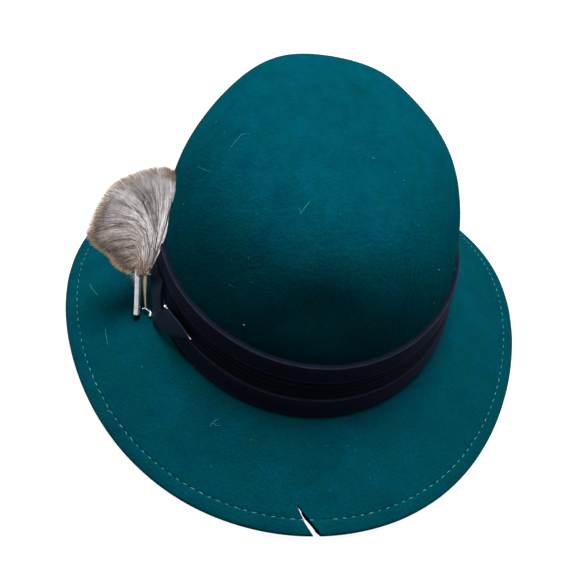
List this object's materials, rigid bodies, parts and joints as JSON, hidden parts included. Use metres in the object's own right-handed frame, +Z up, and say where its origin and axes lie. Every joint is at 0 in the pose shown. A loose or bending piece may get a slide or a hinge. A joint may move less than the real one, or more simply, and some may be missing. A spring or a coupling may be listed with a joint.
{
  "type": "tyrolean hat",
  "caption": "Blocked wool felt hat with a domed crown, a drooping stitched brim, a pleated ribbon band and a pinned fan of hair at its side.",
  "frame": {"origin": "on the surface that the brim rests on, under the middle of the brim's outline", "axes": "+Z up through the crown, -Y towards the front of the hat, -X towards the side with the brush"},
  "size_m": [0.2767, 0.3045, 0.1463],
  "materials": {
    "felt": "brushed wool felt, teal",
    "ribbon": "matte ribbed ribbon, navy black",
    "ribbon_satin": "satin side of the ribbon, slate blue",
    "silver_metal": "polished, slightly tarnished",
    "brass_metal": "dull, tarnished",
    "hair": "silver grey animal hair with brown tips"
  },
  "bodies": {
    "root": {"felt_body": "felt", "ribbon_band": "ribbon", "ribbon_end_upper": "ribbon_satin", "ribbon_end_lower": "ribbon_satin", "brush_tube": "silver_metal", "brooch_stem": "brass_metal", "fixing_pin": "silver_metal", "fur_brush": "hair"}
  },
  "joints": []
}
